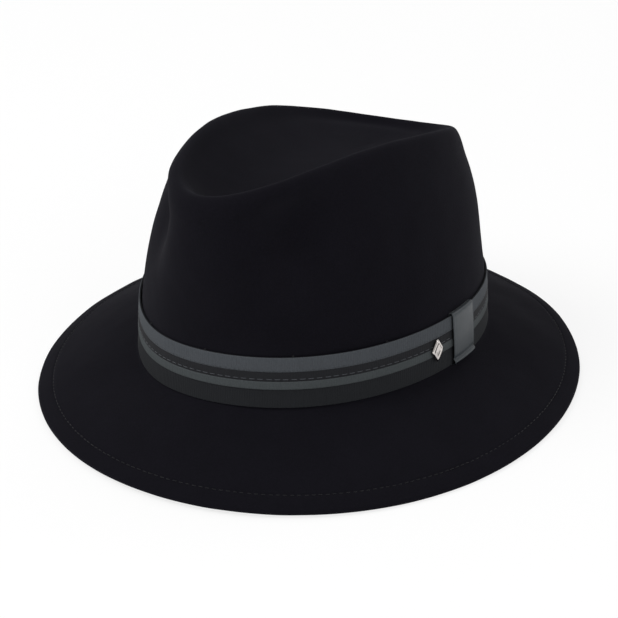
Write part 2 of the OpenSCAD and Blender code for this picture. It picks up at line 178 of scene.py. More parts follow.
def bowl_ring(k, t):
    r, w = ridge(t), BOWL_MIX[k]
    floor = BOWL_Z + 3 * np.cos(t) - 2 * np.cos(t) ** 2
    y = lerp(r[..., 1], FLOOR_MID - FLOOR_HALF * np.cos(t), w)
    z = lerp(r[..., 2], floor, BOWL_FALL[k]) - (SHOULDER_DROP / 2 if k == 0 else 0)
    return stack(r[..., 0] * (1 - w), y, z)


def ring(k, t):
    if k < BREAK:
        return brim_ring(k, t)
    if k <= BREAK + 4:
        return band_ring(k, t)
    if k == BREAK + 5:
        return wall_point(t, 0.1)
    if k <= RIDGE - 2:
        return wall_point(t, WALL_RINGS[k - BREAK - 6])
    if k == RIDGE - 1:
        return wall_point(t, 1.0)
    if k == RIDGE:
        return ridge(t) + np.array([0, 0, SHOULDER_DROP / 2])
    return bowl_ring(k - RIDGE - 1, t)


def ctrl(k, t):
    if k < 0:
        return ring(0, t) + (ring(0, t) - ring(1, t)) * -k
    if k > LAST:
        return 2 * ring(LAST, t) - ring(LAST - 1, t)
    return ring(k, t)


def skin_bare(t, s):
    """Cubic B-spline through the rings; t and s are arrays of the same shape."""
    t, s = np.broadcast_arrays(np.asarray(t, float), np.asarray(s, float))
    out = np.zeros(t.shape + (3,))
    base = np.minimum(np.floor(s), LAST - 1).astype(int)
    for k in np.unique(base):
        pick = base == k
        a = t[pick]
        u = s[pick] - k
        v = 1 - u
        out[pick] = (
            (v**3)[:, None] * ctrl(k - 1, a)
            + (3 * u**3 - 6 * u**2 + 4)[:, None] * ctrl(k, a)
            + (3 * v**3 - 6 * v**2 + 4)[:, None] * ctrl(k + 1, a)
            + (u**3)[:, None] * ctrl(k + 2, a)
        ) / 6
    return out


def brim_s(w):
    return 5 * w / math.hypot(BRIM_SIDE, BRIM_DROP)


def wall_s(h):
    return BREAK + h / RING_STEP


def skin_normal(t, s):
    dt = skin_bare(t + 0.004, s) - skin_bare(t - 0.004, s)
    ds = skin_bare(t, s + 0.01) - skin_bare(t, s - 0.01)
    return unit(np.cross(dt, ds))


def at(t, s, d):
    """The point d outside the felt's outer face."""
    t, s, d = np.broadcast_arrays(*(np.asarray(v, float) for v in (t, s, d)))
    return skin_bare(t, s) + d[..., None] * skin_normal(t, s)


def arc_table():
    t = np.linspace(0, 2 * math.pi, 7201)
    p = oval(t)
    run = np.concatenate([[0], np.cumsum(np.linalg.norm(np.diff(p, axis=0), axis=1))])
    return t, run


ARC_T, ARC_RUN = arc_table()
BAND_ROUND = ARC_RUN[-1]


def run_of(degrees):
    """Distance round the oval from the front to an angle in degrees."""
    turns, rest = divmod(math.radians(degrees), 2 * math.pi)
    return turns * BAND_ROUND + np.interp(rest, ARC_T, ARC_RUN)


def angle_of(run):
    run = np.asarray(run, float)
    turns = np.floor(run / BAND_ROUND)
    return turns * 2 * math.pi + np.interp(run - turns * BAND_ROUND, ARC_RUN, ARC_T)


# ---------------------------------------------------------------- mesh helpers
def make(name, verts, faces, material, smooth=True, replaces=()):
    mesh = bpy.data.meshes.new(name)
    mesh.from_pydata((np.asarray(verts) * MM).tolist(), [], faces)
    mesh.validate()
    mesh.polygons.foreach_set("use_smooth", [smooth] * len(mesh.polygons))
    mesh.materials.append(material)
    mesh.update()
    obj = bpy.data.objects.new(name, mesh)
    bpy.context.scene.collection.objects.link(obj)
    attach(obj, "root")
    if replaces:
        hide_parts(*replaces)
    return obj


def quads(grid, close_i=False, close_j=False):
    """Faces over a grid of vertex numbers."""
    g = grid
    if close_i:
        g = np.concatenate([g, g[:1]], axis=0)
    if close_j:
        g = np.concatenate([g, g[:, :1]], axis=1)
    return np.stack([g[:-1, :-1], g[:-1, 1:], g[1:, 1:], g[1:, :-1]], axis=-1).reshape(-1, 4)


def tube_of(points, close_i, close_j, caps=False):
    """Verts and faces for a grid of points; j runs round the section, i along the sweep."""
    n, m = points.shape[:2]
    grid = np.arange(n * m).reshape(n, m)
    faces = quads(grid, close_i, close_j).tolist()
    if caps:
        faces.append(grid[0].tolist())
        faces.append(grid[-1][::-1].tolist())
    return points.reshape(-1, 3), faces


def join_parts(parts):
    """Many (verts, faces) pairs as one."""
    verts, faces, off = [], [], 0
    for v, f in parts:
        verts.append(v)
        faces.extend([[i + off for i in face] for face in f])
        off += len(v)
    return np.concatenate(verts), faces


def soft_waves(points, seed, count, shortest, longest, height):
    """Smooth unevenness: a sum of waves in space, the same on every run."""
    local = np.random.default_rng(seed)
    total = np.zeros(points.shape[:-1])
    for _ in range(count):
        way = unit(local.normal(size=3))
        length = local.uniform(shortest, longest)
        total += np.sin(points @ way * 2 * math.pi / length + local.uniform(0, 2 * math.pi))
    return total * height / math.sqrt(count)


# ---------------------------------------------------------------- materials
def linear(rgb):
    """Linear values of an sRGB colour written 0 to 255."""
    out = []
    for c in rgb:
        c /= 255
        out.append(c / 12.92 if c <= 0.04045 else ((c + 0.055) / 1.055) ** 2.4)
    return (*out, 1)


class Finish:
    """A Principled material with a few procedural helpers."""

    def __init__(self, name, rgb, rough, **sockets):
        self.material = bpy.data.materials.new(name)
        self.material.use_nodes = True
        self.tree = self.material.node_tree
        self.shader = self.tree.nodes["Principled BSDF"]
        self.base = linear(rgb)
        self.shader.inputs["Base Color"].default_value = self.base
        self.shader.inputs["Roughness"].default_value = rough
        for key, value in sockets.items():
            self.shader.inputs[key.replace("_", " ")].default_value = value
        self.coords = self.tree.nodes.new("ShaderNodeTexCoord").outputs["Object"]

    def link(self, a, b):
        self.tree.links.new(a, b)

    def node(self, kind, **values):
        n = self.tree.nodes.new(kind)
        for key, value in values.items():
            if hasattr(n, key):
                setattr(n, key, value)
            else:
                n.inputs[key.replace("_", " ")].default_value = value
        return n

    def noise(self, per_metre, detail=3.0, rough=0.6, stretch=(1, 1, 1)):
        where = self.node("ShaderNodeMapping")
        where.inputs["Scale"].default_value = [per_metre * k for k in stretch]
        self.link(self.coords, where.inputs["Vector"])
        n = self.node("ShaderNodeTexNoise", Scale=1.0, Detail=detail, Roughness=rough)
        self.link(where.outputs["Vector"], n.inputs["Vector"])
        return n.outputs["Fac"]

    def tint(self, fac, low, high, lo=0.3, hi=0.7):
        """Colour from low to high times the base, along fac."""
        ramp = self.node("ShaderNodeValToRGB")
        a, b = ramp.color_ramp.elements
        a.position, b.position = lo, hi
        a.color = (*[c * low for c in self.base[:3]], 1)
        b.color = (*[c * high for c in self.base[:3]], 1)
        self.link(fac, ramp.inputs["Fac"])
        return ramp.outputs["Color"]

    def colour(self, socket):
        self.link(socket, self.shader.inputs["Base Color"])

    def mix(self, fac, a, b):
        m = self.node("ShaderNodeMix", data_type="RGBA")
        if isinstance(fac, float):
            m.inputs[0].default_value = fac
        else:
            self.link(fac, m.inputs[0])
        self.link(a, m.inputs[6])
        self.link(b, m.inputs[7])
        return m.outputs[2]

    def roughness(self, fac, lo, hi):
        m = self.node("ShaderNodeMapRange", To_Min=lo, To_Max=hi)
        self.link(fac, m.inputs["Value"])
        self.link(m.outputs["Result"], self.shader.inputs["Roughness"])

    def bump(self, fac, depth_mm, strength=1.0):
        b = self.node("ShaderNodeBump", Strength=strength, Distance=depth_mm * MM)
        self.link(fac, b.inputs["Height"])
        last = self.shader.inputs["Normal"]
        if last.is_linked:
            self.link(last.links[0].from_socket, b.inputs["Normal"])
        self.link(b.outputs["Normal"], last)
        return self


def felt_finish(name, rgb):
    f = Finish(name, rgb, 0.95, Sheen_Weight=0.06, Sheen_Roughness=0.5)
    f.shader.inputs["Sheen Tint"].default_value = linear((150, 150, 165))
    f.shader.inputs["Specular IOR Level"].default_value = 0.08
    mottled = f.tint(f.noise(55, 4), 0.86, 1.16)
    fibres = f.tint(f.noise(1300, 4, 0.75), 0.55, 1.55)
    f.colour(f.mix(0.5, mottled, fibres))
    f.bump(f.noise(900, 3, 0.7), 0.22, 0.55)
    f.bump(f.noise(2600, 3, 0.8, (1, 1, 1)), 0.1, 0.6)
    return f.material


def cloth_finish(name, rgb, rough=0.8, sheen=0.15, grain=2200, stretch=(1, 1, 1), bump_mm=0.05, low=0.8, high=1.2):
    f = Finish(name, rgb, rough, Sheen_Weight=sheen, Sheen_Roughness=0.4)
    f.shader.inputs["Specular IOR Level"].default_value = 0.3
    broad = f.tint(f.noise(70, 3), 0.93, 1.08)
    fine = f.tint(f.noise(grain, 3, 0.7, stretch), low, high)
    f.colour(f.mix(0.6, broad, fine))
    f.bump(f.noise(grain, 3, 0.7, stretch), bump_mm, 0.5)
    return f.material


def satin_finish(name, rgb, rough=0.42, sheen=0.1):
    f = Finish(name, rgb, rough, Sheen_Weight=sheen, Sheen_Roughness=0.3)
    f.shader.inputs["Specular IOR Level"].default_value = 0.5
    f.shader.inputs["Anisotropic"].default_value = 0.4
    f.colour(f.tint(f.noise(400, 3, 0.6, (1, 1, 6)), 0.92, 1.08))
    f.roughness(f.noise(300, 3), rough - 0.06, rough + 0.08)
    f.bump(f.noise(3500, 2, 0.6, (1, 1, 0.25)), 0.02, 0.4)
    return f.material


def leather_finish(name, rgb, rough=0.5):
    f = Finish(name, rgb, rough)
    cells = f.node("ShaderNodeTexVoronoi", feature="DISTANCE_TO_EDGE", Scale=1500.0)
    f.link(f.coords, cells.inputs["Vector"])
    f.colour(f.tint(f.noise(60, 5), 0.8, 1.25))
    f.roughness(f.noise(150, 3), rough - 0.08, rough + 0.12)
    f.bump(cells.outputs["Distance"], 0.09, 0.35)
    f.bump(f.noise(500, 4), 0.08, 0.4)
    return f.material


def metal_finish(name, rgb, rough=0.16):
    f = Finish(name, rgb, rough, Metallic=1.0)
    f.colour(f.tint(f.noise(300, 3), 0.96, 1.03))
    f.roughness(f.noise(900, 4, 0.7), rough - 0.05, rough + 0.08)
    f.bump(f.noise(1800, 3), 0.01, 0.3)
    return f.material


FELT = felt_finish("black_felt", (17, 16, 22))
FELT_THREAD = cloth_finish("felt_thread", (20, 20, 25), 0.7, 0.2, 5000)
BASE_RIBBON = cloth_finish("base_grosgrain", (24, 26, 30), 0.8, 0.05, 2600, (1, 1, 0.3))
# Two copies of one slate grosgrain: the lower strip's colour is painted darker as painted shade, and the upper strip's
# colour is painted lighter as painted light.
SLATE_LOW_PAINTED_SHADE = cloth_finish("slate_grosgrain", (68, 73, 75), 0.75, 0.06, 2600, (1, 1, 0.3), low=0.72, high=1.28)
SLATE_UP_PAINTED_LIT = cloth_finish("slate_grosgrain_upper", (72, 76, 81), 0.75, 0.06, 2600, (1, 1, 0.3), low=0.72, high=1.28)
STRIPE = cloth_finish("dark_grosgrain", (27, 28, 32), 0.8, 0.05, 2600, (1, 1, 0.3))
GREY_THREAD = cloth_finish("grey_thread", (74, 77, 82), 0.7, 0.2, 6000)
SLATE_THREAD = cloth_finish("slate_thread", (66, 69, 74), 0.7, 0.2, 6000)
SATIN = satin_finish("keeper_satin", (56, 62, 67))
LEATHER = leather_finish("sweat_leather", (62, 51, 45))
REED = cloth_finish("reed_tape", (40, 38, 38), 0.8, 0.2, 3000)
SWEAT_THREAD = cloth_finish("sweat_thread", (120, 112, 104), 0.7, 0.2, 6000)
BOW = satin_finish("bow_ribbon", (34, 34, 40), 0.5)
LINING = satin_finish("lining_satin", (62, 60, 68), 0.38)
PIPING = satin_finish("piping_satin", (66, 65, 70), 0.4)
METAL = metal_finish("polished_metal", (214, 208, 204))
PLATE = metal_finish("plate_steel", (150, 150, 150), 0.35)
LABEL = cloth_finish("label_tape", (196, 193, 186), 0.7, 0.1, 3500)


# ---------------------------------------------------------------- felt body
STITCH_W = WELT_W - 0.8
EDGE_PAST = 1.15


def felt_body():
    n = 420
    t = np.linspace(0, 2 * math.pi, n, endpoint=False)
    turn = np.linspace(math.pi / 2, 0, 7)
    # rounded edge: s and d of a half circle about the middle of the doubled felt
    centre_w = FELT_T - EDGE_PAST
    edge_w = centre_w - FELT_T * np.sin(turn)
    edge_d = -FELT_T + FELT_T * np.cos(turn)
    brim = np.concatenate([np.linspace(1.2, WELT_W + 3, 42), np.linspace(WELT_W + 4, 50, 30)])
    wall = np.concatenate([np.arange(4.45, 6.6, 0.08), np.arange(6.7, LAST, 0.12), [LAST]])
    top_s = np.concatenate([brim_s(edge_w), brim_s(brim), wall])
    top_d = np.concatenate([edge_d, np.zeros(len(brim) + len(wall))])
    under_w = np.concatenate([edge_w[1:], np.linspace(1.2, WELT_W - 0.5, 24)])
    under_d = np.concatenate([-2 * FELT_T - edge_d[1:], np.full(24, -2 * FELT_T)])
    step_w = WELT_W - 0.5 + 0.5 * np.sin(np.linspace(0.3, math.pi / 2, 5))
    step_d = -2 * FELT_T + 0.5 * (1 - np.cos(np.linspace(0.3, math.pi / 2, 5)))
    low_w = np.concatenate([under_w, step_w, [WELT_W + 0.02], np.linspace(WELT_W + 0.4, 50, 50)])
    low_d = np.concatenate([under_d, step_d, np.full(51, -FELT_T)])
    low_s = np.concatenate([brim_s(low_w), wall])
    low_d = np.concatenate([low_d, np.full(len(wall), -FELT_T)])

    def uneven(p, s, d):
        """Blocking marks, and the soft channel that the stitches pull into the brim."""
        w = s / brim_s(1.0)
        channel = -0.32 * np.exp(-(((w - STITCH_W) / 0.9) ** 2))
        puff = 0.18 * np.exp(-(((w - 4.2) / 2.6) ** 2))
        free = np.clip(1 - np.abs(s - (BREAK + 1.9)) / 2.4, 0, 1)
        waves = soft_waves(p, 3, 14, 26, 90, 0.22) + soft_waves(p, 4, 14, 9, 24, 0.05)
        out = waves * (1 - free) ** 0.5
        return d + out + np.where(d > -FELT_T, channel + puff, -(channel + puff) * 0.7)

    def side(s, d):
        tt, ss = np.meshgrid(t, s, indexing="ij")
        dd = np.broadcast_to(d, ss.shape)
        base = skin_bare(tt, ss)
        return base + uneven(base, ss, dd)[..., None] * skin_normal(tt, ss)

    top = side(top_s, top_d)
    low = side(low_s, low_d)
    m, k = len(top_s), len(low_s)
    a = np.arange(n * m).reshape(n, m)
    b = n * m + np.arange(n * k).reshape(n, k)
    faces = quads(a, close_i=True)[:, ::-1].tolist() + quads(b, close_i=True).tolist()
    rim = np.stack([b[:, 0], a[:, 0]], axis=1)
    faces += quads(rim, close_i=True)[:, ::-1].tolist()
    for last, flip in ((a[:, -1], False), (b[:, -1], True)):
        for i in range(n // 2):
            p, q, r, s = last[i], last[i + 1], last[(n - i - 1) % n], last[(n - i) % n]
            face = [x for j, x in enumerate((p, q, r, s)) if x not in (p, q, r, s)[:j]]
            faces.append(face[::-1] if flip else face)
    verts = np.concatenate([top.reshape(-1, 3), low.reshape(-1, 3)])
    return make("felt_body_soft", verts, faces, FELT, replaces=("felt_body",))


def thread(t, s, d, thick, face=1):
    """One stitch along the points t, s, d: a short cord whose ends dip into the cloth."""
    around = np.linspace(0, 2 * math.pi, 8, endpoint=False)
    f = np.linspace(-1, 1, len(t))
    drop = 0.25 - 0.95 * np.abs(f) ** 6
    mids = at(t, s, d + face * thick * drop)
    normal = face * skin_normal(t, s)
    side = unit(np.cross(unit(np.gradient(mids, axis=0)), normal))
    fat = thick / 2 * np.sqrt(np.clip(1 - (np.abs(f) * 0.985) ** 8, 0, 1))
    twist = fat[:, None] * (1 + 0.07 * np.sin(9 * f[:, None] + 2 * around))
    ring = np.cos(around)[None, :, None] * side[:, None] + np.sin(around)[None, :, None] * normal[:, None]
    verts, faces = tube_of(mids[:, None] + twist[..., None] * ring, False, True, caps=True)
    return verts, faces if face > 0 else [q[::-1] for q in faces]


def stitch_row(name, material, node, count, s, d, length, thick, start=0.0, end=None, face=1, wander=0.0):
    """Stitches round the hat at one ring number, between two distances round the oval."""
    end = start + BAND_ROUND if end is None else end
    f = np.linspace(-1, 1, 9)
    parts = []
    for i in range(count):
        jitter = rng.normal(0, 1, 2)
        mid = start + (end - start) * (i + 0.5) / count + 0.08 * jitter[0]
        ring_s = np.full(9, s + wander * jitter[1])
        parts.append(thread(angle_of(mid + f * length / 2), ring_s, d, thick, face))
    verts, faces = join_parts(parts)
    return make(name, verts, faces, material, replaces=node)


def tack_row(name, material, node, angles, h0, h1, d0, d1, thick, face=1, legs=2):
    """Small upright stitches at the given angles, in twos."""
    f = np.linspace(0, 1, 9)
    parts = []
    for a in angles:
        for leg in range(legs):
            t = np.full(9, math.radians(a + 0.42 * (leg - (legs - 1) / 2)))
            parts.append(thread(t, wall_s(lerp(h0, h1, f)), lerp(d0, d1, f), thick, face))
    verts, faces = join_parts(parts)
    return make(name, verts, faces, material, replaces=node)


def shell(name, material, node, t, s, outer, inner, closed=True, crown=False):
    """A closed thin piece between two distances from the felt's outer face."""
    n, m = len(t), len(s)
    tt, ss = np.meshgrid(t, s, indexing="ij")
    base, out = skin_bare(tt, ss), skin_normal(tt, ss)
    top = base + np.broadcast_to(outer, ss.shape)[..., None] * out
    low = base + np.broadcast_to(inner, ss.shape)[..., None] * out
    a = np.arange(n * m).reshape(n, m)
    b = a + n * m
    faces = quads(a, close_i=closed)[:, ::-1].tolist() + quads(b, close_i=closed).tolist()
    faces += quads(np.stack([b[:, 0], a[:, 0]], axis=1), close_i=closed)[:, ::-1].tolist()
    if crown:
        for last, flip in ((a[:, -1], False), (b[:, -1], True)):
            for i in range(n // 2):
                ends = (last[i], last[i + 1], last[(n - i - 1) % n], last[(n - i) % n])
                face = list(dict.fromkeys(int(x) for x in ends))
                faces.append(face[::-1] if flip else face)
    else:
        faces += quads(np.stack([a[:, -1], b[:, -1]], axis=1), close_i=closed)[:, ::-1].tolist()
    if not closed:
        faces += quads(np.stack([a[0], b[0]], axis=1))[:, ::-1].tolist()
        faces += quads(np.stack([b[-1], a[-1]], axis=1))[:, ::-1].tolist()
    verts = np.concatenate([top.reshape(-1, 3), low.reshape(-1, 3)])
    return make(name, verts, faces, material, replaces=node)


# ---------------------------------------------------------------- hatband
RIB = 1.25


def ribbon_strip(name, material, node, lo, hi, d, thick, start=0.0, end=None, rib=RIB, depth=0.2, wave=0.0):
    """A length of grosgrain: ribs across it and a fine rounded selvedge."""
    end = start + BAND_ROUND if end is None else end
    closed = end - start >= BAND_ROUND - 1e-6
    ribs = int(round((end - start) / rib))
    n = ribs * 4
    run = start + (end - start) * np.arange(n if closed else n + 1) / n
    t = angle_of(run)
    phase = 2 * math.pi * np.arange(len(run)) / 4
    ribbed = 0.5 + 0.5 * np.cos(phase)
    h = np.array([lo, lo + 0.08, lo + 0.3, lo + 0.8, (lo + hi) / 2, hi - 0.8, hi - 0.3, hi - 0.08, hi])
    edge_in = np.array([0.45, 0.15, 0, 0, 0, 0, 0, 0.15, 0.45])
    scallop = 0.1 * ribbed
    drift = wave * (np.sin(run / 37 + 0.6) + 0.6 * np.sin(run / 13.7))
    lines = []
    for j, hj in enumerate(h):
        shift = scallop * (1 if hj > (lo + hi) / 2 else -1) * (1 if j in (0, 8) else 0)
        outer = d + thick * (1 - edge_in[j]) - depth * (1 - ribbed) * (1 - edge_in[j])
        lines.append(at(t, wall_s(hj + shift + drift), outer))
    for hj in (hi, (lo + hi) / 2, lo):
        lines.append(at(t, wall_s(hj + drift), d + 0.02))
    points = np.stack(lines, axis=1)
    verts, faces = tube_of(points, closed, True, caps=not closed)
    return make(name, verts, [f[::-1] for f in faces], material, replaces=node)


def hatband():
    seam = 0.4
    start = run_of(KEEPER_AT) + seam
    base = ribbon_strip(
        "hatband_ribbon_grosgrain", BASE_RIBBON, ("hatband_ribbon",),
        BAND_LO, BAND_HI, RIBBON_D, RIBBON_T, start, start + BAND_ROUND - 2 * seam,
    )
    # The lower slate strip takes the copy painted darker as painted shade, and the upper slate strip takes the copy
    # painted lighter as painted light.
    ribbon_strip(
        "band_lower_grosgrain", SLATE_LOW_PAINTED_SHADE, ("band_lower_strip",),
        LOWER_LO, CENTRE_LO, STRIP_D, STRIP_T, depth=0.16,
    )
    ribbon_strip(
        "band_centre_grosgrain", STRIPE, ("band_centre_stripe",),
        CENTRE_LO + 0.1, UPPER_LO - 0.1, STRIP_D, STRIP_T - 0.1, depth=0.1,
    )
    ribbon_strip(
        "band_upper_grosgrain", SLATE_UP_PAINTED_LIT, ("band_upper_strip",),
        UPPER_LO, BAND_HI, STRIP_D, STRIP_T + 0.05, depth=0.18,
    )


def keeper():
    """One loop of satin round the band: turned sides, a crease and a soft roll at the foot."""
    out_d = OVER_D + 0.5
    lo, hi = BAND_LO - 0.5, BAND_HI + 0.5
    top = [(hi + 0.55, TUCK_D + 0.15), (hi + 0.75, out_d - 0.5), (hi + 0.55, out_d + 0.45), (hi - 0.3, out_d + 0.9)]
    face = [
        (h, out_d + 0.85 + 0.25 * math.sin(math.pi * (h - lo) / (hi - lo)))
        for h in np.linspace(hi - 1.6, lo + 6.2, 16)
    ]
    foot = [
        (lo + 5.2, out_d + 0.72), (lo + 4.7, out_d + 0.42), (lo + 4.4, out_d + 0.36), (lo + 4.1, out_d + 0.6),
        (lo + 3.3, out_d + 1.15), (lo + 2.1, out_d + 1.35), (lo + 0.9, out_d + 1.1), (lo + 0.1, out_d + 0.5),
        (lo - 0.3, out_d - 0.3), (lo - 0.3, TUCK_D + 0.15),
    ]
    path = np.array(top + face + foot)
    back = np.array([(h, TUCK_D + 0.15) for h in np.linspace(lo + 1, hi - 0.5, 10)])
    path = np.concatenate([path, back])
    mid_run = run_of(KEEPER_AT)
    hem = np.array([0.83, 0.87, 0.92, 0.965, 0.992, 1])
    across = np.concatenate([-hem[::-1], np.linspace(-0.75, 0.75, 17), hem])
    half = KEEPER_W / 2
    flare = 1 + 0.02 * np.cos(np.linspace(0, 2 * math.pi, len(path)))
    outer, inner = [], []
    for x in across:
        fall = 0.42 * (max(0.0, abs(x) - 0.9) / 0.1) ** 2
        turned = -0.16 * math.exp(-(((abs(x) - 0.86) / 0.025) ** 2))
        turned += 0.1 * math.exp(-(((abs(x) - 0.94) / 0.04) ** 2))
        run = mid_run + x * half * flare
        dome = 0.18 * (1 - x * x)
        front = path[:, 1] > out_d
        lift = np.where(front, turned + dome - fall, 0)
        outer.append(at(angle_of(run), wall_s(path[:, 0]), path[:, 1] + lift))
        thin = np.where(front, 0.42 - fall * 0.6, 0.1)
        inner.append(at(angle_of(run), wall_s(path[:, 0]), path[:, 1] + lift - thin))
    outer, inner = np.array(outer), np.array(inner)
    n, m = outer.shape[:2]
    a = np.arange(n * m).reshape(n, m)
    b = a + n * m
    faces = quads(a, False, True).tolist() + quads(b, False, True)[:, ::-1].tolist()
    for i, flip in ((0, True), (n - 1, False)):
        cap = quads(np.stack([a[i], b[i]], axis=1), True, False)
        faces += (cap if flip else cap[:, ::-1]).tolist()
    verts = np.concatenate([outer.reshape(-1, 3), inner.reshape(-1, 3)])
    piece = make("keeper_loop_satin", verts, faces, SATIN, replaces=("keeper_loop",))
    return piece


def band_frame(t_deg, h, d):
    """Origin, sideways, up and outward directions of a flat thing on the band."""
    t = math.radians(t_deg)
    n = oval_out(np.array(t))
    out = np.array([n[0], n[1], 0.0])
    up = np.array([0, 0, 1.0])
    return at(t, wall_s(h), d), np.cross(up, out), up, out


def pin():
    """A plain lozenge with a bevelled, faintly domed face."""
    o, side, up, out = band_frame(PIN_AT, BAND_LO + 14.2, OVER_D + 0.1)
    corners = [(1, 0), (0, 1), (-1, 0), (0, -1)]
    levels = [
        (0.93, 0.0), (0.99, 0.18), (1.0, 0.45), (0.97, 0.75), (0.88, 1.0),
        (0.72, 1.06), (0.66, 0.98), (0.4, 1.04), (0.0, 1.08),
    ]
    per_side = 10
    rows = []
    for scale, level in levels:
        row = []
        for k in range(4):
            (x0, y0), (x1, y1) = corners[k], corners[(k + 1) % 4]
            for j in range(per_side):
                f = j / per_side
                x, y = lerp(x0, x1, f), lerp(y0, y1, f)
                soft = 1 - 0.1 * (max(abs(x), abs(y))) ** 14
                flat = side * x * PIN_W / 2 + up * y * PIN_H / 2
                row.append(o + flat * soft * scale + out * level * PIN_T)
        rows.append(row)
    points = np.array(rows[:-1])
    verts, faces = tube_of(points, False, True)
    count = 4 * per_side
    verts = np.concatenate([verts, [o + out * 1.08 * PIN_T]])
    last = (len(points) - 1) * count
    faces += [[last + j, last + (j + 1) % count, len(verts) - 1] for j in range(count)]
    faces.append(list(range(count))[::-1])
    return make("hat_pin_lozenge", verts, faces, METAL, replaces=("hat_pin",))


# ---------------------------------------------------------------- inside
def degrees_of(a, b, n):
    return np.radians(np.linspace(a, b, n))


def round_angles(n):
    return np.linspace(0, 2 * math.pi, n, endpoint=False)


def sweatband():
    face = SWEAT_D - SWEAT_T
    heights = np.concatenate([
        np.linspace(-0.6, 6, 24), np.linspace(7, SWEAT_H - 0.6, 40), SWEAT_H - 0.6 + 0.6 * np.linspace(0.3, 1, 5)
    ])
    t = degrees_of(180.4, 539.6, 420)
    tt, hh = np.meshgrid(t, heights, indexing="ij")
    soft = 0.12 * np.sin(5 * tt + 1.3) * (hh / SWEAT_H) + 0.07 * np.sin(17 * tt + 0.2 * hh)
    channel = 0.22 * np.exp(-(((hh - 3.2) / 0.55) ** 2)) + 0.16 * np.exp(-(((hh - (SWEAT_H - 1.6)) / 0.4) ** 2))
    rolled = 0.35 * np.exp(-(((hh + 0.3) / 0.9) ** 2))
    thin = 0.4 * np.clip((hh - (SWEAT_H - 0.5)) / 0.5, 0, 1) ** 2
    shell(
        "sweatband_leather", LEATHER, ("sweatband",), t, wall_s(heights),
        SWEAT_D - soft * 0.5 - thin * 0.5, face - soft + channel - rolled + thin, closed=False,
    )
    stitch_row(
        "sweatband_thread", SWEAT_THREAD, ("sweatband_stitching",), 170,
        wall_s(3.2), face + 0.16, 2.3, 0.42, run_of(182.5), run_of(537.5), face=-1,
    )
    cord(
        "sweatband_reed_tape", REED, ("sweatband_reed",), wall_s(0.6),
        (LINING_D + SWEAT_D) / 2 - 0.02, 0.36, 0.03, 1.6,
    )


def cord(name, material, node, s, d, radius, twist, pitch):
    """A covered cord lying round the hat at one ring number."""
    n, m = 1400, 10
    t = round_angles(n)
    around = round_angles(m)
    mids = at(t, s, d)
    normal = skin_normal(t, np.full(n, s))
    side = unit(np.cross(unit(np.roll(mids, -1, 0) - np.roll(mids, 1, 0)), normal))
    run = np.array([run_of(math.degrees(a)) for a in t])
    phase = 2 * math.pi * np.round(BAND_ROUND / pitch) * run / BAND_ROUND
    fat = radius * (1 + twist * np.sin(phase[:, None] + 2 * around))
    ring = np.cos(around)[None, :, None] * side[:, None] + np.sin(around)[None, :, None] * normal[:, None]
    verts, faces = tube_of(mids[:, None] + fat[..., None] * ring, True, True)
    return make(name, verts, faces, material, replaces=node)


def lining():
    n = 480
    t = round_angles(n)
    s = np.concatenate([np.linspace(wall_s(SWEAT_H - 14), 17.5, 90), [17.6]])
    tt, ss = np.meshgrid(t, s, indexing="ij")
    low, high = s[0], s[-1]
    f = (ss - low) / (high - low)
    pull = np.sin(math.pi * f) ** 0.7
    folds = 0.5 + 0.5 * np.sin(34 * tt + 1.2 * np.sin(5 * tt) + 2.2 * f)
    fine = 0.5 + 0.5 * np.sin(83 * tt + 2 * np.sin(7 * tt) - 3 * f)
    slack = (0.55 * folds**2 + 0.18 * fine) * pull + 0.5 * np.sin(3 * tt + 0.8) ** 2 * pull
    seam = 0.9 * np.exp(-((np.degrees(tt) - 172) / 0.5) ** 2) * 0.3
    side = shell(
        "lining_side_satin", LINING, ("lining_side",), t, s,
        LINING_D - slack + seam, LINING_D - LINING_T - slack + seam,
    )
    s = np.concatenate([np.linspace(17.7, 22.8, 70), [LAST]])
    tt, ss = np.meshgrid(t, s, indexing="ij")
    f = (ss - s[0]) / (s[-1] - s[0])
    ease = 0.35 * (0.5 + 0.5 * np.sin(29 * tt + np.sin(4 * tt))) * np.exp(-((f / 0.25) ** 2))
    slack = np.minimum(f * 8, 1) * (ease + 0.25 * (0.5 + 0.5 * np.sin(2 * tt + 1)))
    tip = shell(
        "lining_tip_satin", LINING, ("lining_tip",), t, s,
        LINING_D - slack, LINING_D - LINING_T - slack, crown=True,
    )
    cord(
        "lining_piping_cord", PIPING, ("lining_piping",), 17.65,
        LINING_D - LINING_T - 0.75, 0.6, 0.06, 2.2,
    )
    tack_row(
        "lining_tacks", FELT_THREAD, ("lining_tacking",), range(15, 360, 30),
        SWEAT_H - 12, SWEAT_H - 10.6, LINING_D - LINING_T - 0.02, LINING_D - LINING_T - 0.02, 0.35, face=-1,
    )


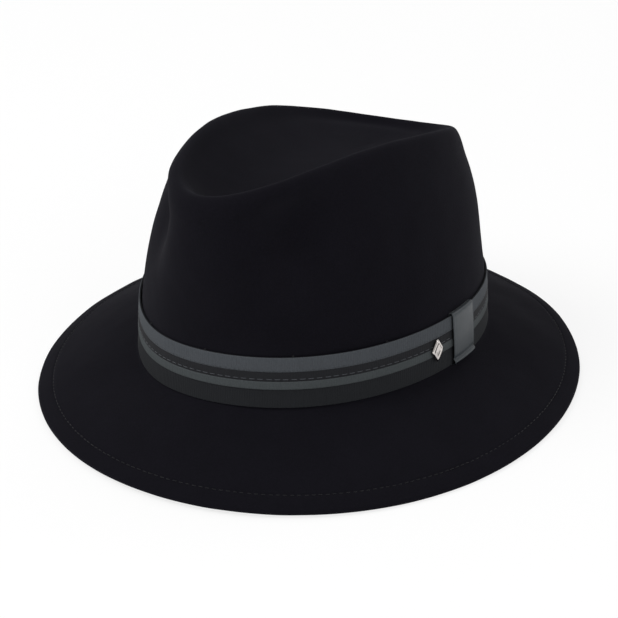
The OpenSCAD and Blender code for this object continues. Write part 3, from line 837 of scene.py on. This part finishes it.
def bow():
    """Flat ribbon bow over the seam of the sweatband: two loops, two tails and a knot."""
    face = SWEAT_D - SWEAT_T
    h = SWEAT_H - 7
    mid = run_of(180)
    parts = []
    around = round_angles(16)
    for side, lift in ((1, 0.0), (-1, 0.12)):
        rows = []
        for u in np.linspace(0, 1, 26):
            reach = side * (0.4 + 9.6 * u)
            tall = 1.3 + 2.5 * math.sin(min(1.0, u * 1.25) * math.pi / 2) - 0.5 * u**6
            fat = 0.12 + 0.75 * math.sin(math.pi * u) ** 0.8
            crease = 0.16 * np.cos(3 * around) * (1 - u)
            rise = tall * np.sin(around)
            deep = -(fat * np.cos(around) * (1 + crease) + fat + 0.1 + lift)
            rows.append(at(angle_of(mid + reach + 0 * around), wall_s(h + rise + 0.6 * side * u), face + deep))
        parts.append(tube_of(np.array(rows), False, True, caps=True))
        rows = []
        for u in np.linspace(0, 1, 14):
            reach = side * (0.5 + 5.2 * u)
            drop = -1.0 - 6.2 * u
            wide = 1.5 + 0.7 * u
            flat_x = wide * np.cos(around)
            deep = -(0.12 * np.sin(around) + 0.22 + 0.25 * math.sin(math.pi * u))
            rows.append(at(angle_of(mid + reach + flat_x), wall_s(h + drop + 0.35 * flat_x * side), face + deep))
        parts.append(tube_of(np.array(rows), False, True, caps=True))
    rows = []
    for u in np.linspace(-1, 1, 13):
        fat = math.sqrt(max(0.0, 1 - abs(u) ** 4)) * 0.9 + 0.1
        knot_d = face - 0.75 - 0.62 * fat * np.sin(around)
        rows.append(at(angle_of(mid + 1.25 * fat * np.cos(around)), wall_s(h + 2.1 * u + 0 * around), knot_d))
    parts.append(tube_of(np.array(rows), False, True, caps=True))
    verts, faces = join_parts(parts)
    make("sweatband_bow_ribbon", verts, faces, BOW, replaces=("sweatband_bow",))


def label():
    """A blank woven label on the inside of the sweatband, curling away from it at its upper end."""
    face = SWEAT_D - SWEAT_T - GAP
    t = degrees_of(196, 206, 60)
    h = np.linspace(SWEAT_H - 16, SWEAT_H - 1, 70)
    tt, hh = np.meshgrid(t, h, indexing="ij")
    curl = 0.35 * ((hh - h[0]) / 15) ** 3 + 0.04 * np.sin(hh * 5.2) + 0.03 * np.sin(tt * 900)
    shell(
        "size_label_tape", LABEL, ("size_label",), t, wall_s(h),
        face - curl, face - 0.28 - curl, closed=False,
    )


def hidden_nodes():
    """CAD nodes whose shape is already right take a finish and stay."""
    kept = {
        "keeper_tuck": BASE_RIBBON, "pin_prongs": METAL, "pin_back_plate": PLATE, "sweatband_seam_tape": BASE_RIBBON
    }
    for name, material in kept.items():
        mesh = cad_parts[name].data
        mesh.materials.clear()
        mesh.materials.append(material)


# ---------------------------------------------------------------- scene
def camera():
    data = bpy.data.cameras.new("camera")
    cam = bpy.data.objects.new("camera", data)
    bpy.context.scene.collection.objects.link(cam)
    azimuth, elevation, far = math.radians(32), math.radians(27.6), 1.2
    back = np.array([
        math.sin(azimuth) * math.cos(elevation), -math.cos(azimuth) * math.cos(elevation), math.sin(elevation)
    ])
    cam.location = back * far
    cam.rotation_euler = (math.pi / 2 - elevation, 0, azimuth)
    data.lens = 132.4
    data.sensor_width = 36
    data.shift_x = -0.0097
    data.shift_y = 0.0178
    data.clip_end = 20
    bpy.context.scene.camera = cam


def area_light(name, place, aim, size, power):
    data = bpy.data.lights.new(name, "AREA")
    data.shape = "DISK"
    data.size = size
    data.energy = power
    lamp = bpy.data.objects.new(name, data)
    lamp.location = place
    way = np.array(aim) - np.array(place)
    lamp.rotation_euler = Vector(way).to_track_quat("-Z", "Y").to_euler()
    bpy.context.scene.collection.objects.link(lamp)


def white_backing(name, shadow_share):
    """White as the camera sees it, keeping a share of the shadow."""
    material = bpy.data.materials.new(name)
    material.use_nodes = True
    tree = material.node_tree
    shader = tree.nodes["Principled BSDF"]
    shader.inputs["Base Color"].default_value = (0.86, 0.86, 0.86, 1)
    shader.inputs["Roughness"].default_value = 0.9
    path = tree.nodes.new("ShaderNodeLightPath")
    glow = tree.nodes.new("ShaderNodeEmission")
    glow.inputs["Strength"].default_value = 1.12
    mix = tree.nodes.new("ShaderNodeMixShader")
    seen = tree.nodes.new("ShaderNodeMath")
    seen.operation = "MAXIMUM"
    share = tree.nodes.new("ShaderNodeMath")
    share.operation = "MULTIPLY"
    share.inputs[1].default_value = 1 - shadow_share
    tree.links.new(path.outputs["Is Camera Ray"], seen.inputs[0])
    tree.links.new(path.outputs["Is Glossy Ray"], seen.inputs[1])
    tree.links.new(seen.outputs[0], share.inputs[0])
    tree.links.new(share.outputs[0], mix.inputs["Fac"])
    tree.links.new(shader.outputs[0], mix.inputs[1])
    tree.links.new(glow.outputs[0], mix.inputs[2])
    tree.links.new(mix.outputs[0], tree.nodes["Material Output"].inputs["Surface"])
    return material


def studio():
    low = cad_bounds[0][2]
    mesh = bpy.data.meshes.new("floor")
    r = 6.0
    mesh.from_pydata([(-r, -r, low), (r, -r, low), (r, r, low), (-r, r, low)], [], [(0, 1, 2, 3)])
    mesh.materials.append(white_backing("white_floor", 0.3))
    floor = bpy.data.objects.new("floor", mesh)
    bpy.context.scene.collection.objects.link(floor)
    world = bpy.data.worlds.new("studio")
    bpy.context.scene.world = world
    world.use_nodes = True
    tree = world.node_tree
    sky = tree.nodes["Background"]
    sky.inputs["Color"].default_value = (1, 1, 1, 1)
    sky.inputs["Strength"].default_value = 0.48
    white = tree.nodes.new("ShaderNodeBackground")
    white.inputs["Color"].default_value = (1, 1, 1, 1)
    white.inputs["Strength"].default_value = 1.0
    path = tree.nodes.new("ShaderNodeLightPath")
    mix = tree.nodes.new("ShaderNodeMixShader")
    tree.links.new(path.outputs["Is Camera Ray"], mix.inputs["Fac"])
    tree.links.new(sky.outputs[0], mix.inputs[1])
    tree.links.new(white.outputs[0], mix.inputs[2])
    tree.links.new(mix.outputs[0], tree.nodes["World Output"].inputs["Surface"])
    area_light("key", (-0.9, -1.1, 1.6), (0, 0, 0.05), 1.2, 18)
    area_light("side", (1.5, -0.6, 1.0), (0, 0, 0.05), 1.2, 5)
    area_light("back", (0.3, 1.5, 1.4), (0, 0, 0.05), 1.0, 3)


camera()
studio()
felt_body()
stitch_row(
    "brim_edge_thread", FELT_THREAD, ("brim_edge_stitching",), 260, brim_s(STITCH_W),
    -0.3, 1.45, 0.42, wander=0.004,
)
hatband()
row_from, row_to = run_of(KEEPER_AT) + KEEPER_W / 2 + 1, run_of(KEEPER_AT) + BAND_ROUND - KEEPER_W / 2 - 1
stitch_row(
    "band_centre_thread", GREY_THREAD, ("band_stitching",), 138, wall_s(CENTRE_LO + 1.3),
    STRIP_D + STRIP_T - 0.12, 3.1, 0.36, row_from, row_to,
)
stitch_row(
    "band_edge_thread", SLATE_THREAD, (), 230, wall_s(UPPER_LO + 0.75),
    STRIP_D + STRIP_T - 0.02, 1.5, 0.3, row_from, row_to,
)
tack_row(
    "band_tacks", FELT_THREAD, ("band_tacking",),
    [a for a in range(0, 360, 30) if abs(a - KEEPER_AT) > 8], BAND_HI - 0.5, BAND_HI + 0.9, STRIP_D + STRIP_T, 0.1, 0.3,
)
keeper()
pin()
sweatband()
lining()
bow()
label()
hidden_nodes()
bpy.context.scene.view_settings.view_transform = "Standard"
